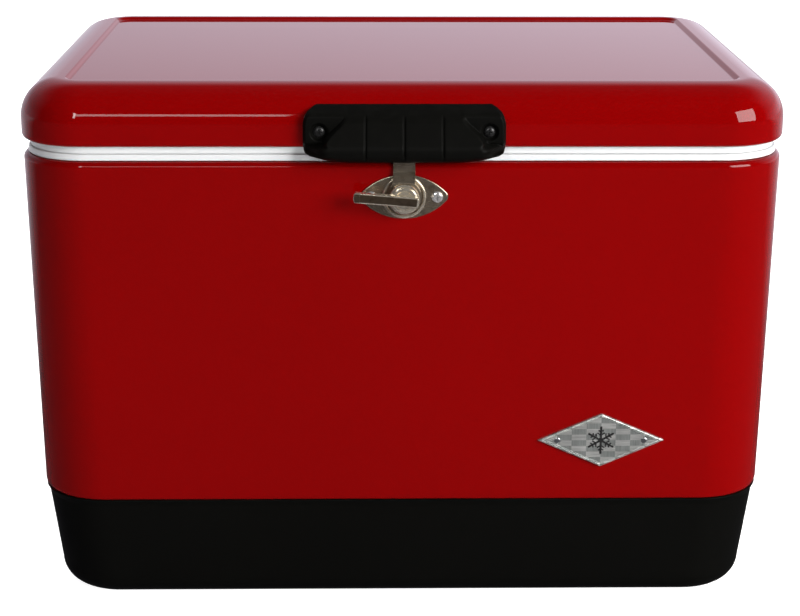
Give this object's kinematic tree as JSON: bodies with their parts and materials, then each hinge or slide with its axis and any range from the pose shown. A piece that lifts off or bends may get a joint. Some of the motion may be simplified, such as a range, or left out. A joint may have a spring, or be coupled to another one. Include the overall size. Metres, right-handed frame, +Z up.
{
  "type": "cooler chest",
  "caption": "Steel-wrapped insulated cooler chest with a hinged lid, front pull, turn latch, swinging end handles and a drain with a screw cap.",
  "frame": {"origin": "centre of the flat underside that the chest rests on", "axes": "+X along the width to the right seen from the front, +Y from the front to the back, +Z up"},
  "size_m": [0.649, 0.4478, 0.4372],
  "materials": {
    "red_enamel": "gloss",
    "black_plastic": "satin",
    "white_plastic": "satin",
    "insulation_foam": "matte",
    "badge_metal": "satin",
    "plated_steel": "polished",
    "zinc_steel": "satin",
    "black_rubber": "matte"
  },
  "bodies": {
    "chest": {"outer_belt": "red_enamel", "base_pan": "black_plastic", "liner_tub": "white_plastic", "foam_walls": "insulation_foam", "foam_floor": "insulation_foam", "badge_plate": "badge_metal", "badge_rivets": "badge_metal", "latch_plate": "plated_steel", "latch_screws": "plated_steel", "latch_backing_plate": "zinc_steel", "hinge_body_leaf_left": "zinc_steel", "hinge_body_leaf_right": "zinc_steel", "hinge_pin_left": "zinc_steel", "hinge_pin_right": "zinc_steel", "hinge_body_screws": "zinc_steel", "hinge_body_backing_plates": "zinc_steel", "handle_bracket_left_front": "zinc_steel", "handle_bracket_left_rear": "zinc_steel", "handle_bracket_right_front": "zinc_steel", "handle_bracket_right_rear": "zinc_steel", "handle_bracket_screws": "zinc_steel", "handle_backing_plates": "zinc_steel", "drain_spout": "white_plastic", "drain_gasket": "black_rubber", "drain_nut": "white_plastic"},
    "lid": {"lid_shell": "red_enamel", "lid_liner": "white_plastic", "lid_foam": "insulation_foam", "lid_handle": "black_plastic", "lid_handle_screws": "zinc_steel", "lid_handle_backing_strip": "zinc_steel", "latch_tongue": "plated_steel", "latch_keeper": "plated_steel", "tongue_rivets": "zinc_steel", "hinge_lid_leaf_left": "zinc_steel", "hinge_lid_leaf_right": "zinc_steel", "hinge_lid_screws": "zinc_steel", "hinge_lid_backing_plates": "zinc_steel"},
    "latch_turn": {"latch_lever": "plated_steel", "latch_cam": "plated_steel", "latch_washer": "zinc_steel", "latch_clip": "zinc_steel"},
    "bail_left": {"bail_left": "zinc_steel", "grip_left": "black_rubber"},
    "bail_right": {"bail_right": "zinc_steel", "grip_right": "black_rubber"},
    "drain_travel": {"drain_seal": "black_rubber"},
    "drain_cap": {"drain_cap": "black_plastic"}
  },
  "joints": [
    {"name": "lid_hinge", "type": "hinge", "parent": "chest", "child": "lid", "pos_m": [0, 0.212, 0.384], "axis": [-1, 0, 0], "range_deg": [0, 105]},
    {"name": "latch_lever_turn", "type": "hinge", "parent": "chest", "child": "latch_turn", "pos_m": [0, -0.21, 0.3513], "axis": [0, -1, 0], "range_deg": [0, 90]},
    {"name": "bail_right_swing", "type": "hinge", "parent": "chest", "child": "bail_right", "pos_m": [0.3155, 0, 0.318], "axis": [0, -1, 0], "range_deg": [0, 100]},
    {"name": "bail_left_swing", "type": "hinge", "parent": "chest", "child": "bail_left", "pos_m": [-0.3155, 0, 0.318], "axis": [0, 1, 0], "range_deg": [0, 100]},
    {"name": "drain_cap_travel", "type": "slide", "parent": "chest", "child": "drain_travel", "axis": [1, 0, 0], "range_m": [0, 0.009]},
    {"name": "drain_cap_turn", "type": "hinge", "parent": "drain_travel", "child": "drain_cap", "pos_m": [0.31, 0.1, 0.073], "axis": [1, 0, 0], "range_deg": [0, 1080]}
  ],
  "couplings": [
    {"joint": "drain_cap_travel", "follows": "drain_cap_turn", "m_per_rad": 0.00047746}
  ]
}
